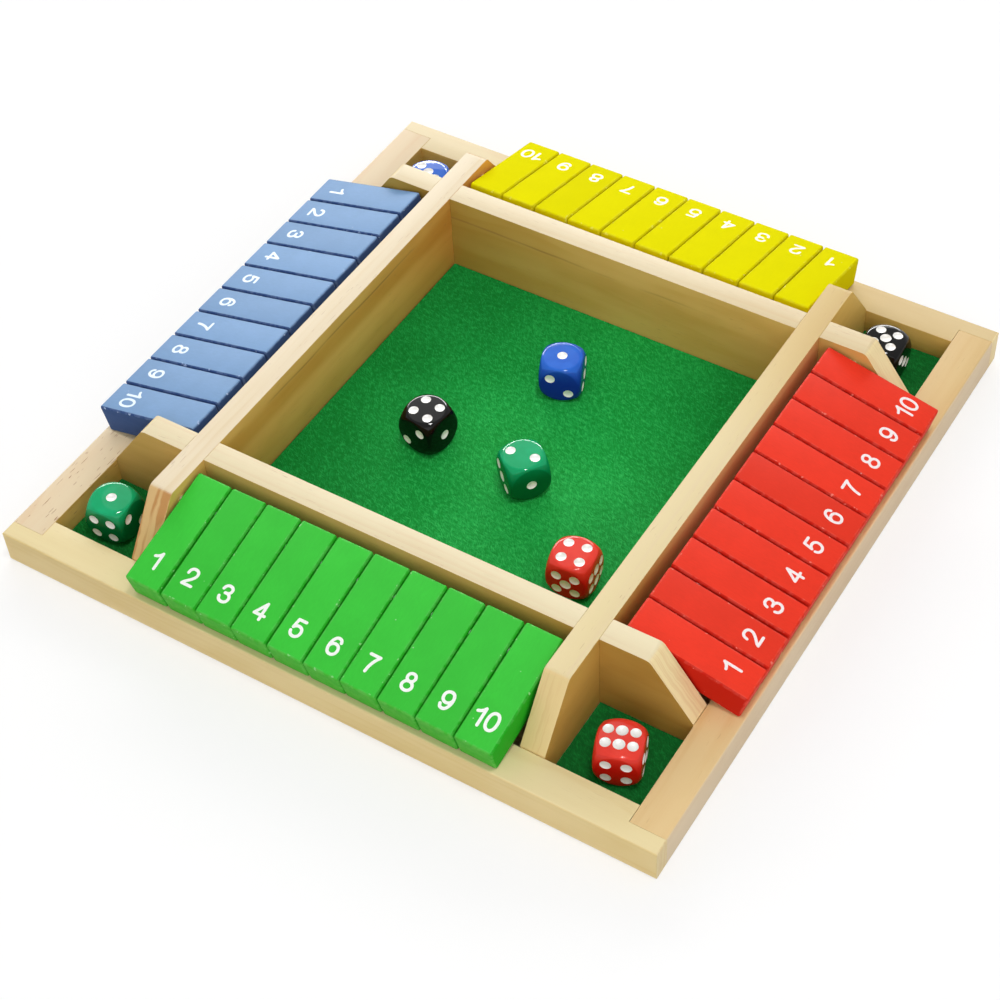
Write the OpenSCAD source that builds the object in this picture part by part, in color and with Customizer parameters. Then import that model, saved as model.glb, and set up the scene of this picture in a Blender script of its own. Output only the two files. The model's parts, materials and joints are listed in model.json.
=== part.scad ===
// Four-player shut the box game.
// Four rows of hinged number tiles stand round a felted dice pit, with a felted well for spare dice in
// each corner. Four boards, lapped into a noughts-and-crosses grid, make the pit; their clipped ends
// carry the hinge rods. Each tile rests on the frame rail and turns over its rod to lean on the wall.
// Lengths are millimetres. The origin is the middle of the underside, +Z is up, and the green player
// sits at the front, on the -Y side. Player rows follow anticlockwise: green, red, yellow, blue.

/* [Number tiles] */
// Tiles in each player's row
tile_count = 10; // [6:1:12]
// Width of a tile, along its rod
tile_w = 13.8; // [11:0.1:18]
// Thickness of a tile
tile_t = 11.2; // [8:0.1:13]
// From the rod's axis to a tile's inner end
tile_tail = 10.8; // [8:0.1:11]
// Flat chamfer on every edge of a tile
tile_chamfer = 0.7; // [0.2:0.1:1.2]
// Gap between two tiles
tile_gap = 0.5; // [0.1:0.05:1]
// Gap between the end tiles and the ears beside them
row_gap = 1.1; // [0.2:0.1:2]

/* [Frame] */
// Width of a frame rail
rail_w = 13; // [10:0.5:24]
// Height of a frame rail
rail_h = 13.8; // [10:0.1:20]
// Radius on the rail's outer top edge
rail_round = 0.8; // [0.5:0.1:4]
// Flat chamfer on the rail's outer bottom edge
rail_chamfer = 0.4; // [0.2:0.1:2]
// Thickness that a front or back rail keeps outside its corner notch
corner_lip = 6; // [3:0.5:9]
// Clear width between a wall and the rail, and so of a corner well
well_w = 33.7; // [27:0.1:45]
// Thickness of the base panel
panel_t = 3.2; // [2:0.1:5]
// How far the base panel is let into the rails
panel_let = 5; // [3:0.5:8]

/* [Walls] */
// Height of the walls' top edge above the table
wall_h = 36.2; // [30:0.1:45]
// Thickness of a wall
wall_t = 9; // [7:0.1:12]
// How far a clipped corner stands back from the rail
ear_clip = 15.9; // [12:0.1:18]
// Height of an ear's toe above the rail
ear_toe = 0.6; // [0.2:0.1:2]
// Radius on an ear's clipped corner
ear_round = 3; // [1:0.1:6]

/* [Hinge rods] */
// Diameter of a hinge rod
rod_d = 2.5; // [1.6:0.1:3]
// Wood left between a rod's bore and the numbered face of a tile
rod_cover = 1.3; // [1:0.1:3]
// From a wall's outer face to the rod's axis
rod_out = 13.9; // [13.2:0.1:16]
// From the walls' top edge down to the rod's axis
rod_drop = 6.2; // [4:0.1:9]
// Depth of a rod's blind hole in an ear
rod_socket = 6; // [3:0.5:7]

/* [Dice] */
// Side of a die
die_s = 16; // [12:0.5:18]
// Radius of the ball that rounds a die's corners
die_ball_r = 10.8; // [8.5:0.1:13]
// Diameter of a pip
pip_d = 3.4; // [2:0.1:4]
// Depth of a pip
pip_depth = 0.6; // [0.2:0.1:1]
// From a face's middle to a corner pip, along each edge
pip_off = 3.4; // [2.5:0.1:4]
// Half the length of the six's rows of three
six_long = 3.9; // [3:0.1:4.5]
// Half the distance between the six's rows
six_short = 2.7; // [2:0.1:3.5]

/* [Felt and fits] */
// Thickness of the felt
felt_t = 1; // [0.5:0.1:2]
// Gap round a piece of felt
felt_gap = 0.3; // [0.1:0.1:1]
// Gap at a side face of a glued wood joint
glue_gap = 0.1; // [0:0.02:0.2]
// Radial clearance between a rod and a tile's bore
bore_clear = 0.08; // [0.02:0.01:0.1]
// Radial clearance between a rod and its hole in an ear
socket_clear = 0.02; // [0.01:0.01:0.05]
// Gap between a resting tile and the rail
rest_gap = 0.1; // [0.05:0.05:0.3]
// How far inside the rail's inner edge a resting tile touches it
rail_rest = 10.2; // [4:0.1:12]

/* [Hidden] */
$fn = 48;
PINE = [0.93, 0.83, 0.64];
FELT = [0.05, 0.47, 0.16];
STEEL = [0.75, 0.76, 0.78];

// Each player's name, tile colour and turn about the middle of the board
SIDES = [
    ["green", [0.25, 0.78, 0.25], 0],
    ["red", [0.93, 0.22, 0.22], 90],
    ["yellow", [0.92, 0.89, 0], 180],
    ["blue", [0.52, 0.66, 0.84], 270]
];

// Each die: name, colour, place from its hollow's middle, number on top, turn.
// The hollow is 0 for the pit; otherwise it is the well's corner, as signs of x and y.
DICE = [
    ["blue_pit_die", [0.05, 0.13, 0.7], [0, 0], [-0.9, 34.6], 1, 20.3],
    ["green_pit_die", [0.02, 0.45, 0.28], [0, 0], [11.8, -13.7], 2, -127.7],
    ["red_pit_die", [0.85, 0.1, 0.08], [0, 0], [49.7, -43.2], 4, 187.5],
    ["black_pit_die", [0.05, 0.05, 0.06], [0, 0], [-29.1, -11.8], 4, -9.1],
    ["green_well_die", [0.02, 0.45, 0.28], [-1, -1], [-2.4, -2.2], 1, 97.6],
    ["red_well_die", [0.85, 0.1, 0.08], [1, -1], [1.6, -2.1], 6, 108.7],
    ["black_well_die", [0.05, 0.05, 0.06], [1, 1], [-2.2, 0.8], 5, 0.6],
    ["blue_well_die", [0.05, 0.13, 0.7], [-1, 1], [-1.6, -0.4], 3, 201.5]
];

// Plan, from the middle outwards
pit = tile_count * tile_w + (tile_count - 1) * tile_gap + 2 * row_gap;
wall_in = pit / 2;
wall_out = wall_in + wall_t;
rail_in = wall_out + well_w;
side = 2 * (rail_in + rail_w);
well_mid = (wall_out + rail_in) / 2;

// Rods
rod_pos = wall_out + rod_out;
rod_z = wall_h - rod_drop;
rod_length = pit + 2 * (rod_socket - glue_gap);

// A tile's bore, and how far its axis lies under the numbered face and over the underside
bore_r = rod_d / 2 + bore_clear;
axis_under = rod_cover + bore_r;
axis_over = tile_t - axis_under;

// A resting tile: its lower outer edge stands on the rail, so the rod's height sets its slope
rest_run = rail_in + rail_rest - rod_pos;
rest_fall = rod_z - rail_h - rest_gap;
touch_reach = sqrt(pow(rest_run, 2) + pow(rest_fall, 2) - pow(axis_over, 2));
tile_reach = touch_reach + tile_chamfer;
rest_slope = atan2(rest_fall, rest_run) - atan2(axis_over, touch_reach);

// Heights
felt_top = panel_t + felt_t;
lap_z = (panel_t + wall_h) / 2;

// Slack that carries a cutting shape past the face it cuts
past = 1;

function tile_name(player, n) = str(player[0], "_tile_", n);

// ---- shared shapes ----

// A rectangle about the origin with flat-cut corners
module clipped_rect(w, h, cut) {
    x = w / 2;
    y = h / 2;
    polygon([
        [cut - x, -y], [x - cut, -y], [x, cut - y], [x, y - cut],
        [x - cut, y], [cut - x, y], [-x, y - cut], [-x, cut - y]
    ]);
}

// A block about the origin with a flat chamfer on all twelve edges
module chamfered_block(size, cut) {
    intersection() {
        linear_extrude(size.z, center = true)
            clipped_rect(size.x, size.y, cut);
        rotate([90, 0, 0])
            linear_extrude(size.y, center = true)
                clipped_rect(size.x, size.z, cut);
        rotate([90, 0, 90])
            linear_extrude(size.x, center = true)
                clipped_rect(size.y, size.z, cut);
    }
}

// ---- frame and base ----

// The frame's section right across the board, with its outer edges eased
module frame_section() {
    half = side / 2;
    for (s = [-1, 1])
        translate([s * (half - rail_round), rail_h - rail_round])
            circle(rail_round);
    polygon([
        [rail_chamfer - half, 0], [half - rail_chamfer, 0], [half, rail_chamfer],
        [half, rail_h - rail_round], [half - rail_round, rail_h],
        [rail_round - half, rail_h], [-half, rail_h - rail_round], [-half, rail_chamfer]
    ]);
}

// A slab the size of the frame, eased round all four sides
module frame_slab() {
    intersection() {
        rotate([90, 0, 0])
            linear_extrude(side, center = true)
                frame_section();
        rotate([90, 0, 90])
            linear_extrude(side, center = true)
                frame_section();
    }
}

// The space for the base panel, which the rails are rebated for
module panel_space(gap) {
    w = 2 * (rail_in + panel_let + gap);
    translate([-w / 2, -w / 2, -past])
        cube([w, w, panel_t + past]);
}

// A rail along X at the front, notched at both ends for the side rails
module long_rail() {
    color(PINE)
        difference() {
            intersection() {
                frame_slab();
                translate([-side / 2, -side / 2, 0])
                    cube([side, rail_w, rail_h]);
            }
            for (s = [-1, 1])
                translate([s * side / 2, -side / 2 + corner_lip + rail_w / 2, rail_h / 2])
                    cube([2 * (rail_w + glue_gap), rail_w, rail_h + 2 * past], center = true);
            panel_space(glue_gap);
        }
}

// A rail along Y at the left, which butts into the notches of the long rails
module short_rail() {
    length = side - 2 * (corner_lip + glue_gap);
    color(PINE)
        difference() {
            intersection() {
                frame_slab();
                translate([-side / 2, -length / 2, 0])
                    cube([rail_w, length, rail_h]);
            }
            panel_space(glue_gap);
        }
}

module front_rail() long_rail();

module back_rail() rotate(180) long_rail();

module left_rail() short_rail();

module right_rail() rotate(180) short_rail();

module base_panel() {
    w = 2 * (rail_in + panel_let);
    color(PINE)
        translate([-w / 2, -w / 2, 0])
            cube([w, w, panel_t]);
}

// ---- walls ----

// Outline of a wall: level over the pit, with an ear at each end that slopes down to the rail
module wall_outline() {
    end = rail_in - glue_gap;
    corner = rail_in - ear_clip;
    toe_z = rail_h + ear_toe;
    slope = atan2(wall_h - toe_z, end - corner);
    tangent = ear_round * tan(slope / 2);
    for (s = [-1, 1])
        translate([s * (corner - tangent), wall_h - ear_round])
            circle(ear_round);
    polygon([
        [-end, panel_t], [end, panel_t], [end, toe_z],
        [corner + tangent * cos(slope), wall_h - tangent * sin(slope)],
        [corner - tangent, wall_h], [tangent - corner, wall_h],
        [-corner - tangent * cos(slope), wall_h - tangent * sin(slope)],
        [-end, toe_z]
    ]);
}

// A wall along Y at the left of the pit. The blind holes in its ears open towards the pit's side.
// over is true for the pair that laps over the other pair.
module wall(over) {
    lap = wall_t + 2 * glue_gap;
    lap_bottom = over ? panel_t - past : lap_z;
    lap_top = over ? lap_z : wall_h + past;
    color(PINE)
        difference() {
            translate([-wall_out, 0, 0])
                rotate([90, 0, 90])
                    linear_extrude(wall_t)
                        wall_outline();
            for (s = [-1, 1]) {
                translate([-wall_out - past, s * (wall_in + wall_t / 2) - lap / 2, lap_bottom])
                    cube([wall_t + 2 * past, lap, lap_top - lap_bottom]);
                translate([-wall_in - rod_socket, s * rod_pos, rod_z])
                    rotate([0, 90, 0])
                        cylinder(r = rod_d / 2 + socket_clear, h = rod_socket + past);
            }
        }
}

module left_wall() wall(true);

module right_wall() rotate(180) wall(true);

module front_wall() rotate(90) wall(false);

module back_wall() rotate(270) wall(false);

// ---- rods and tiles ----

module hinge_rods() {
    color(STEEL)
        for (player = SIDES)
            rotate(player[2])
                translate([-rod_length / 2, -rod_pos, rod_z])
                    rotate([0, 90, 0])
                        cylinder(d = rod_d, h = rod_length);
}

// Number n of a row, counted from the player's left. It is drawn lying outwards from its rod and then
// tipped down to its rest on the rail.
module tile(player, n) {
    length = tile_tail + tile_reach;
    x = -wall_in + row_gap + tile_w / 2 + (n - 1) * (tile_w + tile_gap);
    color(player[1])
        rotate(player[2])
            translate([x, -rod_pos, rod_z])
                rotate([rest_slope, 0, 0])
                    difference() {
                        translate([0, tile_tail - length / 2, axis_under - tile_t / 2])
                            chamfered_block([tile_w, length, tile_t], tile_chamfer);
                        rotate([0, 90, 0])
                            cylinder(r = bore_r, h = tile_w + 2 * past, center = true);
                    }
}

// ---- felt ----

// A square of felt on the base panel, centred on the Z axis
module felt_square(opening) {
    w = opening - 2 * felt_gap;
    color(FELT)
        translate([-w / 2, -w / 2, panel_t])
            cube([w, w, felt_t]);
}

module pit_felt() felt_square(pit);

module well_felts() {
    for (sx = [-1, 1], sy = [-1, 1])
        translate([sx * well_mid, sy * well_mid, 0])
            felt_square(well_w);
}

// ---- dice ----

// Where the pips of each number stand on its face, with the six's rows of three along Y
function pips(number) =
    number == 6
        ? [for (x = [-six_short, six_short], y = [-six_long, 0, six_long]) [x, y]]
        : concat(
            number % 2 == 1 ? [[0, 0]] : [],
            number > 1 ? [[-pip_off, pip_off], [pip_off, -pip_off]] : [],
            number > 3 ? [[-pip_off, -pip_off], [pip_off, pip_off]] : []
        );

// The turn that takes each number's face from facing up to its place on a die that shows 1 on top,
// 2 at the front and 3 at the right. Its opposite brings that number to the top.
FACE_TURNS = [
    [0, 0, 0], [90, 0, 0], [0, 90, 0], [0, -90, 0], [-90, 0, 0], [180, 0, 0]
];

// A die about the origin: a cube rounded by a ball, with a shallow round pip for each dot
module die_body() {
    dimple_r = (pow(pip_d / 2, 2) + pow(pip_depth, 2)) / (2 * pip_depth);
    difference() {
        intersection() {
            cube(die_s, center = true);
            sphere(die_ball_r);
        }
        for (number = [1:6])
            rotate(FACE_TURNS[number - 1])
                for (place = pips(number))
                    translate([place.x, place.y, die_s / 2 + dimple_r - pip_depth])
                        sphere(dimple_r);
    }
}

module die(entry) {
    color(entry[1])
        translate([
            entry[2].x * well_mid + entry[3].x,
            entry[2].y * well_mid + entry[3].y,
            felt_top + die_s / 2
        ])
            rotate(entry[5])
                rotate(-FACE_TURNS[entry[4] - 1])
                    die_body();
}

base_panel();
front_rail();
back_rail();
left_rail();
right_rail();
front_wall();
back_wall();
left_wall();
right_wall();
hinge_rods();
pit_felt();
well_felts();
for (entry = DICE)
    die(entry);
for (player = SIDES, n = [1:tile_count])
    tile(player, n);
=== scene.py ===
import functools
import json
import logging
import math
import random
from collections.abc import Callable, Sequence
from dataclasses import dataclass
from enum import Enum

import bmesh
import bpy
from mathutils import Euler, Matrix, Vector, noise


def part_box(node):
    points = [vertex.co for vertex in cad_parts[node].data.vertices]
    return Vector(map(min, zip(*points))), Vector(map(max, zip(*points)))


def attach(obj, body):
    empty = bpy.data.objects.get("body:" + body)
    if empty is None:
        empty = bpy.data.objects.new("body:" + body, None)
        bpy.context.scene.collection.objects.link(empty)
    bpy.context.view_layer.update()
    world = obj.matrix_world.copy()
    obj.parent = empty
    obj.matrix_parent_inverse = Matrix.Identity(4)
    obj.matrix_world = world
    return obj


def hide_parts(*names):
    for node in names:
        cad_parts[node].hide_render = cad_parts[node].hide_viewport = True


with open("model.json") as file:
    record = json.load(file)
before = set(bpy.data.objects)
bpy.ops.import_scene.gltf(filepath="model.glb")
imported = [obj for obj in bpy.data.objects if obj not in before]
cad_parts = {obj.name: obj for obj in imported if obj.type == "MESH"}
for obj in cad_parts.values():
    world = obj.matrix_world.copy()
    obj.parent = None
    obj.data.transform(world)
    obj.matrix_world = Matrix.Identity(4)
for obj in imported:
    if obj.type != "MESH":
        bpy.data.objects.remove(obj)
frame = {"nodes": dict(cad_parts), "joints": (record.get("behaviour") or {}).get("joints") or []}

MM = 0.001
TINY = 1e-6
SHARP = math.radians(35.0)
BOARD = "board"
Colour = tuple[float, float, float]
Triple = tuple[float, float, float]
Shape = bmesh.types.BMesh
log = logging.getLogger("shut_the_box")


class Side(Enum):
    """The four players' sides, each with the quarter turns from the front side to it."""

    GREEN = 0
    RED = 1
    YELLOW = 2
    BLUE = 3

    @property
    def word(self) -> str:
        """The side's name as the frame's nodes spell it."""
        return self.name.lower()


class Grain(Enum):
    """The way a board's grain runs, with the turn in degrees that brings it to X."""

    ALONG_X = 0.0
    ALONG_Y = -90.0


class Cut(Enum):
    """What a second shape does to a first one."""

    REMOVE = "DIFFERENCE"
    JOIN = "UNION"


def summed(how: str, swapped: bool = False) -> Callable:
    """Makes an operator of a wire.

    Args:
        how: the Math node that it adds.
        swapped: whether the other value comes first.

    Returns:
        The operator's method.
    """

    def method(self: "Wire", other: "Wire | float") -> "Wire":
        """Adds the Math node over this value and the other."""
        return self.graph.maths(how, *((other, self) if swapped else (self, other)))

    return method


@dataclass(eq=False)
class Wire:
    """A shader socket that takes part in Python sums; each sum adds its Math node."""

    graph: "Graph"
    socket: bpy.types.NodeSocket
    __add__ = __radd__ = summed("ADD")
    __mul__ = __rmul__ = summed("MULTIPLY")
    __sub__, __rsub__ = summed("SUBTRACT"), summed("SUBTRACT", swapped=True)
    __truediv__ = summed("DIVIDE")

    def __abs__(self) -> "Wire":
        """The value without its sign."""
        return self.graph.maths("ABSOLUTE", self)

    def fraction(self) -> "Wire":
        """What is left of the value after its whole part."""
        return self.graph.maths("FRACT", self)


class Graph:
    """The node tree of a material or of the sky, written as sums of wires."""

    # The Mix node's numbers for its share and its two colours, and for the colour that comes out
    MIX_INPUTS = (0, 6, 7)
    MIX_OUTPUT = 2

    def __init__(self, owner: "str | bpy.types.World") -> None:
        """Starts with no nodes, for a new material of this name or for the sky."""
        self.owner = bpy.data.materials.new(owner) if isinstance(owner, str) else owner
        self.owner.use_nodes = True
        self.tree = self.owner.node_tree
        self.tree.nodes.clear()

    @functools.cached_property
    def spot(self) -> Wire:
        """The shaded point in millimetres, on the object's own axes."""
        return self.vector("SCALE", self.wire("ShaderNodeTexCoord", "Object"), 1.0 / MM)

    def node(self, kind: str, sockets: dict | None = None, **settings: str | bool) -> bpy.types.Node:
        """Adds one node.

        Args:
            kind: the node's type.
            sockets: a value or a wire for each input, by name or number.
            settings: its properties, set before its sockets.

        Returns:
            The node.
        """
        node = self.tree.nodes.new(kind)
        for name, value in settings.items():
            setattr(node, name, value)
        for name, value in (sockets or {}).items():
            if isinstance(value, Wire):
                self.tree.links.new(value.socket, node.inputs[name])
            else:
                node.inputs[name].default_value = value
        return node

    def wire(
        self, kind: str, output: str | int = 0, sockets: dict | None = None, **settings: str | bool
    ) -> Wire:
        """Adds one node and holds one of its outputs."""
        return Wire(self, self.node(kind, sockets, **settings).outputs[output])

    def maths(self, how: str, *values: Wire | float) -> Wire:
        """A Math node over one or two values."""
        return self.wire("ShaderNodeMath", 0, dict(enumerate(values)), operation=how)

    def vector(self, how: str, *values: "Wire | tuple | float") -> Wire:
        """A Vector Math node over its vectors; a plain number among them is the factor of a SCALE."""
        sockets = {"Scale" if isinstance(v, float) else number: v for number, v in enumerate(values)}
        output = "Value" if how == "DISTANCE" else "Vector"
        return self.wire("ShaderNodeVectorMath", output, sockets, operation=how)

    def blend(
        self, share: Wire | float, first: "Wire | Colour", second: "Wire | Colour", how: str = "MIX"
    ) -> Wire:
        """Mixes two colours.

        Args:
            share: how much of the second shows, from 0 to 1.
            first: the colour below.
            second: the colour over it.
            how: the blend type.

        Returns:
            The mixed colour.
        """
        colours = [c if isinstance(c, Wire) else (*c, 1.0) for c in (first, second)]
        sockets = dict(zip(self.MIX_INPUTS, (share, *colours)))
        return self.wire("ShaderNodeMix", self.MIX_OUTPUT, sockets, data_type="RGBA", blend_type=how)

    def noise(
        self,
        place: Wire,
        cells: "Triple | float",
        detail: float = 2.0,
        rough: float = 0.5,
        output: str = "Fac",
    ) -> Wire:
        """Fractal noise from 0 to 1 over a place in millimetres; its coarsest cells have these sizes."""
        sockets = {"Vector": self.in_cells(place, cells), "Scale": 1.0}
        sockets |= {"Detail": detail, "Roughness": rough}
        return self.wire("ShaderNodeTexNoise", output, sockets, normalize=True)

    def ease(self, value: Wire, low: float, high: float) -> Wire:
        """A soft step: 0 below low, 1 above high."""
        sockets = {"Value": value, "From Min": low, "From Max": high}
        return self.wire("ShaderNodeMapRange", 0, sockets, interpolation_type="SMOOTHSTEP", clamp=True)

    def in_cells(self, place: Wire, cells: "Triple | float") -> Wire:
        """A place in millimetres, counted in cells of this size or these sizes."""
        return self.vector("DIVIDE", place, cells if isinstance(cells, tuple) else (cells,) * 3)

    def jogged(self, place: Wire, cells: "Triple | float", reach: float) -> Wire:
        """A place pushed about by up to half of reach, in waves as long as the cells."""
        push = self.vector("SUBTRACT", self.noise(place, cells, output="Color"), (0.5, 0.5, 0.5))
        return self.vector("ADD", place, self.vector("SCALE", push, reach))

    def turned(self, place: Wire, degrees: float) -> Wire:
        """A place turned about Z."""
        sockets = {"Vector": place, "Rotation": (0.0, 0.0, math.radians(degrees))}
        return self.wire("ShaderNodeMapping", 0, sockets)

    def part(self, vector: Wire, axis: str) -> Wire:
        """One axis of a vector, X, Y or Z."""
        return self.wire("ShaderNodeSeparateXYZ", axis, {"Vector": vector})

    def mark(self, name: str) -> Wire:
        """A number painted on the mesh under this name."""
        return self.wire("ShaderNodeAttribute", "Fac", attribute_name=name)

    def seen(self) -> Wire:
        """1 for what the camera sees at once or in a gloss, 0 for all other light."""
        ways = (self.wire("ShaderNodeLightPath", f"Is {way} Ray") for way in ("Camera", "Glossy"))
        return self.maths("MAXIMUM", *ways)

    def surface(
        self, colour: Wire, roughness: "Wire | float", height: Wire, depth: float, **constants: float
    ) -> bpy.types.Material:
        """Ends the graph in a Principled shader.

        Args:
            colour: the base colour.
            roughness: the roughness.
            height: a relief from 0 to 1.
            depth: its depth in metres.
            constants: other sockets, with _ for a space.

        Returns:
            The finished material.
        """
        sockets = {name.replace("_", " "): value for name, value in constants.items()}
        sockets |= {"Base Color": colour, "Roughness": roughness}
        relief = {"Strength": 1.0, "Distance": depth, "Height": height}
        sockets["Normal"] = self.wire("ShaderNodeBump", "Normal", relief)
        return self.ended(self.wire("ShaderNodeBsdfPrincipled", "BSDF", sockets))

    def ended(self, shader: Wire) -> "bpy.types.Material | bpy.types.World":
        """Puts a shader on the output and gives back what it belongs to."""
        kind = "World" if isinstance(self.owner, bpy.types.World) else "Material"
        self.node(f"ShaderNodeOutput{kind}", {"Surface": shader})
        return self.owner


@dataclass(frozen=True)
class Timber:
    """Sanded pine under a clear satin lacquer, for one board."""

    name: str
    middle: Triple
    seed: float
    ring_mm: float
    grain: Grain = Grain.ALONG_X
    apart: float = 173.0
    pale: Colour = (0.86, 0.735, 0.53)
    deep: Colour = (0.80, 0.64, 0.40)
    # Painted shade: the broad faces' two tones, darker and more saturated than the tops, and the colour
    # that darkens them towards one end
    broad: Colour = (0.76, 0.50, 0.14)
    shade: Colour = (0.67, 0.41, 0.095)
    warm: Colour = (0.90, 0.76, 0.55)
    line: Colour = (0.32, 0.16, 0.05)
    band: Colour = (0.84, 0.74, 0.56)
    end: Colour = (0.93, 0.76, 0.42)
    streak: Colour = (0.74, 0.47, 0.20)
    figure: float = 0.18
    streaks: float = 0.3
    streak_mm: float = 1.1
    flecks: float = 0.3
    fleck: Colour = (0.36, 0.17, 0.07)
    fleck_end: int = 0
    pith_mm: tuple[float, float] = (48.0, -14.0)
    # Which end of the broad faces gets painted shade, and the painted tint at the other end
    warm_end: int = 0
    far: Colour = (1.0, 1.0, 1.0)
    # Painted shade on the tops, darkening towards the end by the back right corner
    tan: Colour = (0.88, 0.80, 0.66)
    tan_end: int = 0
    vein_mm: float | None = None
    vein_run: tuple[float, float] = (-60.0, 60.0)

    def material(self) -> bpy.types.Material:
        """Faint growth rings, fibres and flecks, painted shade on the broad faces and richer end grain
        on the ends.
        """
        g = Graph(self.name)
        centred = g.vector("SUBTRACT", g.spot, tuple(c / MM for c in self.middle))
        own = g.turned(centred, self.grain.value)
        place = g.vector("ADD", own, (self.seed * self.apart, 0.0, 0.0))
        length = g.part(own, "X")
        waved = g.jogged(place, (110.0, 24.0, 24.0), 9.0)
        tall = g.vector("MULTIPLY", waved, (0.012, 1.0, 1.0))
        radius = g.vector("DISTANCE", tall, (0.0, *self.pith_mm))
        ring = (radius / self.ring_mm).fraction()
        late = g.ease(ring, 0.25, 0.85) * (1.0 - g.ease(ring, 0.86, 1.0))
        fibre = g.noise(place, (16.0, 0.45, 0.45), 3.0, 0.6)
        bands = g.noise(place, (80.0, 6.0, 6.0))
        cloud = g.noise(place, (34.0, 11.0, 11.0))
        grain = late * g.ease(bands, 0.35, 0.7) * self.figure
        tone = g.ease(grain * 1.3 + bands * 0.5 + fibre * 0.25 + cloud * 0.5, 0.45, 1.15)
        colour = g.blend(tone, self.pale, self.deep)
        depth = g.ease(grain * 1.2 + cloud * 1.2 + fibre * 0.2, 0.45, 1.15)
        # The painted shade of the broad faces
        side_shade_colour = g.blend(depth, self.broad, self.shade)
        # Painted shade on the broad faces, deepening towards one end and tinted at the other
        if self.warm_end:
            side_shade_colour = g.blend(g.ease(length * self.warm_end, 0.0, 80.0), side_shade_colour, self.warm, "MULTIPLY")
            side_shade_colour = g.blend(g.ease(length * -self.warm_end, 62.0, 86.0), side_shade_colour, self.far, "MULTIPLY")
        # Painted shade: the tops darken towards the end by the back right corner
        if self.tan_end:
            colour = g.blend(g.ease(length * self.tan_end, 0.0, 80.0), colour, self.tan, "MULTIPLY")
        if self.vein_mm is not None:
            start, stop = self.vein_run
            shown = g.ease(length, start - 30.0, start) * (1.0 - g.ease(length, stop, stop + 45.0))
            rise = g.part(g.jogged(place, (44.0, 60.0, 60.0), 3.4), "Z") - self.vein_mm
            band = (1.0 - g.ease(abs(rise + 4.0), 1.5, 6.5)) * shown
            vein = (1.0 - g.ease(abs(rise), 0.05, 0.75)) * g.ease(cloud, 0.36, 0.60) * shown
            side_shade_colour = g.blend(band * 0.9, side_shade_colour, self.band, "MULTIPLY")
            side_shade_colour = g.blend(vein * 0.60, side_shade_colour, self.line)
        # Painted shade: the broad faces take the darker, more saturated colour
        colour = g.blend(g.mark("broad"), colour, side_shade_colour)
        run = g.noise(g.jogged(place, 9.0, 3.0), (34.0, self.streak_mm, 34.0))
        cut = g.blend(g.ease(run, 0.47, 0.61) * self.streaks, self.end, self.streak)
        colour = g.blend(g.mark("ends"), colour, cut)
        patch = g.ease(g.noise(place, (30.0, 9.0, 9.0), 1.0), 0.42, 0.62)
        if self.fleck_end:
            patch = g.ease(length * self.fleck_end + patch * 50.0, 0.0, 60.0)
        fleck = g.ease(g.noise(place, (4.2, 0.40, 0.40), 0.0), 0.745, 0.80) * patch
        colour = g.blend(fleck * self.flecks * (1.0 - g.mark("ends")), colour, self.fleck)
        relief = fibre * 0.7 - grain * 0.5 - fleck * 0.5
        return g.surface(colour, 0.42 + fibre * 0.14, relief, 0.04 * MM, Specular_IOR_Level=0.07)


@dataclass(frozen=True)
class Sheeting:
    """Thin plywood, plain sanded, as the panel under the board is."""

    pale: Colour = (0.74, 0.56, 0.34)
    deep: Colour = (0.58, 0.40, 0.20)

    def material(self) -> bpy.types.Material:
        """Long loose figure of peeled veneer."""
        g = Graph("panel_ply")
        waved = g.jogged(g.spot, (60.0, 12.0, 60.0), 18.0)
        figure = (g.noise(waved, (150.0, 9.0, 40.0)) * 6.0).fraction()
        figure = g.ease(figure, 0.2, 0.9) * (1.0 - g.ease(figure, 0.92, 1.0))
        fibre = g.noise(g.spot, (22.0, 0.5, 0.5), 3.0)
        tone = g.ease(figure * 0.5 + fibre * 0.7, 0.2, 1.0)
        return g.surface(g.blend(tone, self.pale, self.deep), 0.6 + fibre * 0.15, fibre, 0.04 * MM)


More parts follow.
